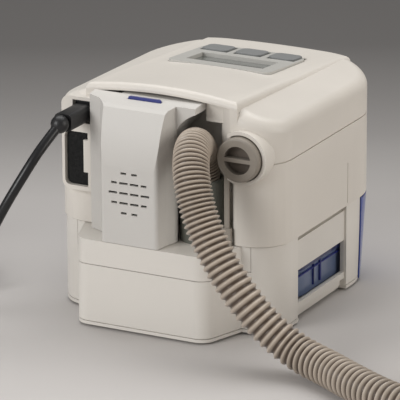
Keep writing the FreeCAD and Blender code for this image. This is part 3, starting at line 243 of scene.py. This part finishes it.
for look, names in LOOKS.items():
    for name in names:
        mesh = nodes[name].data
        mesh.materials.clear()
        mesh.materials.append(look)


def placed(look):
    """A material's nodes, links and shader, and its object-space place split into axes."""
    tree = look.node_tree
    new, join = tree.nodes.new, tree.links.new
    place = next(n for n in tree.nodes if n.type == "TEX_COORD")
    split = new("ShaderNodeSeparateXYZ")
    join(place.outputs["Object"], split.inputs["Vector"])
    return new, join, tree.nodes["Principled BSDF"], split


def between(new, join, value, low, high):
    """Rises from 0 to 1 as the value goes from low to high."""
    span = new("ShaderNodeMapRange")
    span.inputs["From Min"].default_value = low
    span.inputs["From Max"].default_value = high
    join(value, span.inputs["Value"])
    return span.outputs["Result"]


def tint(new, join, shader, amount, colour):
    """Turns the base colour towards another by an amount from 0 to 1."""
    mix = new("ShaderNodeMix")
    mix.data_type = "RGBA"
    mix.inputs["B"].default_value = (*colour, 1)
    join(amount, mix.inputs["Factor"])
    join(shader.inputs["Base Color"].links[0].from_socket, mix.inputs["A"])
    join(mix.outputs["Result"], shader.inputs["Base Color"])


# ------------------------------------------------------------------ cords
HOSE_RADIUS = 0.012
RIDGE_HEIGHT = 0.0020
PATH_STEP = 0.002
COIL_X, COIL_Y, COIL_RADIUS = -0.318, 0.060, 0.120
FLOOR_Z = HOSE_RADIUS + 0.0001
hose_route = [
    (-0.027, 0.066, 0.092), (-0.027, 0.066, 0.115), (-0.0295, 0.079, 0.1285),
    (-0.0355, 0.097, 0.1285), (-0.042, 0.110, 0.1155), (-0.0505, 0.116, 0.0945),
    (-0.065, 0.121, 0.071), (-0.084, 0.124, 0.048), (-0.104, 0.123, 0.028),
    (-0.124, 0.122, 0.015), (-0.148, 0.130, FLOOR_Z), (-0.175, 0.147, FLOOR_Z),
    (-0.206, 0.164, FLOOR_Z), (-0.244, 0.176, FLOOR_Z), (-0.284, 0.179, FLOOR_Z),
    (COIL_X, COIL_Y + COIL_RADIUS, FLOOR_Z)]
STEP = math.radians(15)
CORNER_RADIUS = COIL_RADIUS / math.cos(STEP / 2)
END_Z = 3 * HOSE_RADIUS + 0.0015
for number in range(42):
    angle = math.radians(90) + STEP * (number + 0.5)
    climb = min(1, max(0, (math.degrees(angle) - 300) / 105))
    height = FLOOR_Z + (END_Z - FLOOR_Z) * climb
    hose_route.append((COIL_X + CORNER_RADIUS * math.cos(angle),
                       COIL_Y + CORNER_RADIUS * math.sin(angle), height))
hose_route.append((COIL_X + COIL_RADIUS, COIL_Y, END_Z))
hose_route.append((COIL_X + COIL_RADIUS, COIL_Y + 0.002, END_Z))
hose_line = route_line(hose_route)


def tube_mesh(spots, radii, around):
    """Closed tube with a ring of its own radius about every spot."""
    verts, faces = [], []
    side = Vector((1, 0, 0))
    for number, spot in enumerate(spots):
        ahead = spots[min(number + 1, len(spots) - 1)]
        behind = spots[max(number - 1, 0)]
        along = (ahead - behind).normalized()
        side = (side - along * side.dot(along)).normalized()
        across = along.cross(side)
        for part in range(around):
            angle = 2 * math.pi * part / around
            verts.append(spot + radii[number] * (side * math.cos(angle)
                                                 + across * math.sin(angle)))
    for ring in range(len(spots) - 1):
        for part in range(around):
            a = ring * around + part
            b = ring * around + (part + 1) % around
            faces.append((a, b, b + around, a + around))
    faces.append(tuple(reversed(range(around))))
    last = (len(spots) - 1) * around
    faces.append(tuple(range(last, last + around)))
    return verts, faces


def hose_mesh(line):
    """A corrugated tube: rounded ridges, close together in the first bend, then wider."""
    fine, around, steps = 0.0002, 40, 10
    short_pitch, long_pitch, short_end, long_start = 0.0024, 0.0053, 0.060, 0.170
    smooth = even_line(line, fine)
    spots, phases = [], []
    phase = 0.0
    want = 0.0
    for number, spot in enumerate(smooth):
        part = min(1, max(0, (number * fine - short_end) / (long_start - short_end)))
        pitch = short_pitch + (long_pitch - short_pitch) * part * part * (3 - 2 * part)
        if phase >= want:
            spots.append(spot)
            phases.append(phase)
            want += 1 / steps
        phase += fine / pitch
    heights = [0.5 - 0.5 * math.cos(2 * math.pi * phase) for phase in phases]
    radii = [HOSE_RADIUS - RIDGE_HEIGHT * (1 - height) for height in heights]
    verts, faces = tube_mesh(spots, radii, around)
    ridges = [height for height in heights for _ in range(around)]
    return verts, faces, ridges, even_line(line, PATH_STEP)


verts, faces, ridges, hose_spots = hose_mesh(hose_line)
hose = mesh_piece("breathing_hose_corrugated", verts, faces, "root")
height = hose.data.attributes.new("ridge", "FLOAT", "POINT")
height.data.foreach_set("value", ridges)
HOSE = material("hose_vinyl", (0.46, 0.39, 0.32), rough=0.34, spread=0.05, bump=0.04,
                subsurface=0.0, sheen=0.1, large=30)


def paint_hose_valley_shade():
    """Painted shade: dark valleys and pale ridges, by how high the surface stands, in place of the
    shade that falls between the ridges.
    """
    tree = HOSE.node_tree
    new, join = tree.nodes.new, tree.links.new
    shader = tree.nodes["Principled BSDF"]
    ramp = next(n for n in tree.nodes if n.type == "VALTORGB")
    height = new("ShaderNodeAttribute")
    height.attribute_name = "ridge"
    valley_shade_mask = new("ShaderNodeValToRGB")
    valley_shade_mask.color_ramp.elements[0].position = 0.12
    valley_shade_mask.color_ramp.elements[1].position = 0.72
    join(height.outputs["Fac"], valley_shade_mask.inputs["Fac"])
    mix = new("ShaderNodeMix")
    mix.data_type = "RGBA"
    # Painted shade: the dark colour laid into the hose's valleys.
    mix.inputs["A"].default_value = (0.075, 0.050, 0.034, 1)
    join(valley_shade_mask.outputs["Color"], mix.inputs["Factor"])
    join(ramp.outputs["Color"], mix.inputs["B"])
    join(mix.outputs["Result"], shader.inputs["Base Color"])


paint_hose_valley_shade()
hose.data.materials.append(HOSE)
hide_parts("breathing_hose", "hose_coil")

CORD_RADIUS = 0.00325
RING_X, RING_Y = 0.178, 0.074
LOW_Z = CORD_RADIUS + 0.00005
cord_route = [
    (0.055, 0.106, 0.137), (0.0594, 0.122, 0.1258), (0.0665, 0.134, 0.1085),
    (0.0769, 0.141, 0.088), (0.090, 0.144, 0.062), (0.106, 0.143, 0.038),
    (0.126, 0.139, 0.017), (0.149, 0.132, LOW_Z), (0.173, 0.1236, LOW_Z)]
TURNS = [(0.0415, 0), (0.035, 0), (0.0285, 0), (0.0285, 1), (0.035, 1), (0.0415, 1)]
CORD_STEP = 24
start_angle = 62.0
wound = 360.0 * (len(TURNS) - 1) + start_angle
travelled = 0.0
while travelled < wound:
    place = travelled / 360.0
    index = min(int(place), len(TURNS) - 1)
    part = place - index
    here = TURNS[index]
    there = TURNS[min(index + 1, len(TURNS) - 1)]
    ease = max(0.0, (part - 0.75) / 0.25)
    radius = here[0] + (there[0] - here[0]) * ease
    layer = here[1] + (there[1] - here[1]) * ease
    wide = radius / math.cos(math.radians(CORD_STEP / 2))
    spin = math.radians(start_angle - travelled)
    cord_route.append((RING_X + wide * math.cos(spin), RING_Y + wide * math.sin(spin),
                       LOW_Z + layer * 2 * CORD_RADIUS))
    travelled += CORD_STEP
cord_route.append((RING_X + 0.0415, RING_Y - 0.0175, LOW_Z + 2 * CORD_RADIUS))
lead_line = route_line(cord_route)
lead_spots = even_line(lead_line, PATH_STEP) + [lead_line[-1]]
verts, faces = tube_mesh(lead_spots, [CORD_RADIUS] * len(lead_spots), 20)
lead = mesh_piece("mains_lead", verts, faces, "root")
lead.data.materials.append(CORD)
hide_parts("mains_cord", "mains_cord_coil")


def paint_grip_shade(look):
    """Painted shade: the cap's two finger recesses are darker towards their floor, in place of the
    shade that falls in them.
    """
    new, join, shader, split = placed(look)
    recess_shade_depth = between(new, join, split.outputs["Y"], 0.0795, 0.0750)
    hinge = next(j for j in frame["joints"] if j["name"] == "cap_twist")["pos_m"]
    flat = new("ShaderNodeCombineXYZ")
    join(split.outputs["X"], flat.inputs["X"])
    join(split.outputs["Z"], flat.inputs["Z"])
    away = new("ShaderNodeVectorMath")
    away.operation = "DISTANCE"
    join(flat.outputs["Vector"], away.inputs[0])
    away.inputs[1].default_value = (hinge[0], 0, hinge[2])
    inside = between(new, join, away.outputs["Value"], 0.0104, 0.0098)
    recess_shade_mask = new("ShaderNodeMath")
    recess_shade_mask.operation = "MULTIPLY"
    join(recess_shade_depth, recess_shade_mask.inputs[0])
    join(inside, recess_shade_mask.inputs[1])
    # Painted shade colour for the floors of the finger recesses.
    tint(new, join, shader, recess_shade_mask.outputs["Value"], (0.135, 0.112, 0.092))


GRIP_SHADE = CAP.copy()
GRIP_SHADE.name = "cap_plastic_grip_shade"
paint_grip_shade(GRIP_SHADE)
nodes["outlet_cap"].data.materials[0] = GRIP_SHADE


# ------------------------------------------------------------------ water chamber's details
def bar(bm, low, high, round_off):
    """One block with rounded edges, added to a mesh."""
    low, high = Vector(low), Vector(high)
    made = bmesh.ops.create_cube(bm, size=1)["verts"]
    for vert in made:
        vert.co = Vector(((low[i] + high[i]) / 2 + vert.co[i] * (high[i] - low[i])
                          for i in range(3)))
    edges = {edge for vert in made for edge in vert.link_edges}
    bmesh.ops.bevel(bm, geom=list(edges), offset=round_off, segments=2, affect="EDGES")


tub_low, tub_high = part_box("chamber_tub")
ribs = bmesh.new()
for sign in (-1, 1):
    skin = sign * (tub_high.x - 0.0022)
    outer = sign * (tub_high.x - 0.0004)
    x_low, x_high = min(skin, outer), max(skin, outer)
    for y, half in ((-0.0105, 0.0009), (0.0, 0.0003)):
        bar(ribs, (x_low, y - half, tub_low.z + 0.0035), (x_high, y + half, tub_high.z - 0.0028),
            0.0003)
    bar(ribs, (x_low, -0.040, tub_high.z - 0.0062), (x_high, 0.026, tub_high.z - 0.0052), 0.0003)
ribs = bm_piece("chamber_side_ribs", ribs, "chamber", smooth=False)
ribs.data.materials.append(NAVY)


def band_navy(look):
    """The tub's rim is thicker, so it looks a deeper blue than the wall below."""
    new, join, shader, split = placed(look)
    rim = between(new, join, split.outputs["Z"], tub_high.z - 0.0027, tub_high.z - 0.0023)
    tint(new, join, shader, rim, (0.018, 0.03, 0.13))


band_navy(BLUE)

# ------------------------------------------------------------------ floor, backdrop and light
backdrop_mesh = bpy.data.meshes.new("backdrop")
wide, high, bend = 6.0, 4.0, 1.2
profile = [(3.0, 0.0), (-1.5, 0.0)]
for number in range(1, 17):
    angle = math.radians(90 * number / 16)
    profile.append((-1.5 - bend * math.sin(angle), bend - bend * math.cos(angle)))
profile.append((-1.5 - bend, high))
verts = [(x, y, z) for y, z in profile for x in (-wide, wide)]
faces = [(2 * i, 2 * i + 1, 2 * i + 3, 2 * i + 2) for i in range(len(profile) - 1)]
backdrop_mesh.from_pydata(verts, [], faces)
backdrop = link(bpy.data.objects.new("backdrop", backdrop_mesh))
for face in backdrop_mesh.polygons:
    face.use_smooth = True
backdrop.matrix_world = Matrix.Rotation(AZIMUTH, 4, "Z") @ Matrix.Rotation(math.pi, 4, "Z")
backdrop.data.materials.append(material("studio_floor_painted_falloff", (0.5, 0.485, 0.47), rough=0.6,
                                        spread=0.01, bump=0.0, large=3))


def paint_backdrop_falloff(look):
    """Painted light falloff: pale round the machine and greyer further behind it, in place of the
    light dropping off across a swept studio backdrop.
    """
    new, join, shader, split = placed(look)
    reach = between(new, join, split.outputs["Y"], 0.20, -0.62)
    painted_falloff = new("ShaderNodeValToRGB")
    # Painted light falloff: brightness steps from near the machine to far behind it.
    steps = [(0.0, 0.56), (0.244, 0.49), (0.366, 0.46), (0.488, 0.41), (0.549, 0.355),
             (0.671, 0.25), (0.793, 0.19), (0.976, 0.12)]
    ramp = painted_falloff.color_ramp
    while len(ramp.elements) < len(steps):
        ramp.elements.new(0.5)
    for element, (spot, value) in zip(ramp.elements, steps):
        element.position = spot
        element.color = (value, value * 0.955, value * 0.925, 1)
    join(reach, painted_falloff.inputs["Fac"])
    join(painted_falloff.outputs["Color"], shader.inputs["Base Color"])


paint_backdrop_falloff(backdrop.data.materials[0])


def area(name, spot, aim, size, power, colour=(1, 1, 1)):
    data = bpy.data.lights.new(name, "AREA")
    data.shape = "RECTANGLE"
    data.size, data.size_y = size
    data.energy = power
    data.color = colour
    obj = link(bpy.data.objects.new(name, data))
    way = Vector(aim) - Vector(spot)
    aimed = way.to_track_quat("-Z", "Y").to_matrix().to_4x4()
    obj.matrix_world = Matrix.Translation(Vector(spot)) @ aimed
    return obj


right = Vector((-0.886, -0.463, 0.0))
back = Vector((0.463, -0.886, 0.0))
area("top_light", Vector((0, 0, 1.5)) + back * 0.5, (0, 0, 0.05), (1.6, 1.2), 17.5)
area("left_light", Vector((0, 0, 0.9)) - right * 1.6 - back * 1.2, (0, 0, 0.06), (1.0, 1.0), 22)
area("right_fill", Vector((0, 0, 0.7)) + right * 1.8 - back * 0.8, (0, 0, 0.06), (1.2, 1.2), 14,
     colour=(1, 0.955, 0.90))
world = bpy.data.worlds.new("world")
world.use_nodes = True
world.node_tree.nodes["Background"].inputs["Color"].default_value = (1.0, 0.985, 0.96, 1)
world.node_tree.nodes["Background"].inputs["Strength"].default_value = 0.36
scene.world = world
scene.view_settings.view_transform = "Standard"

bpy.context.view_layer.update()
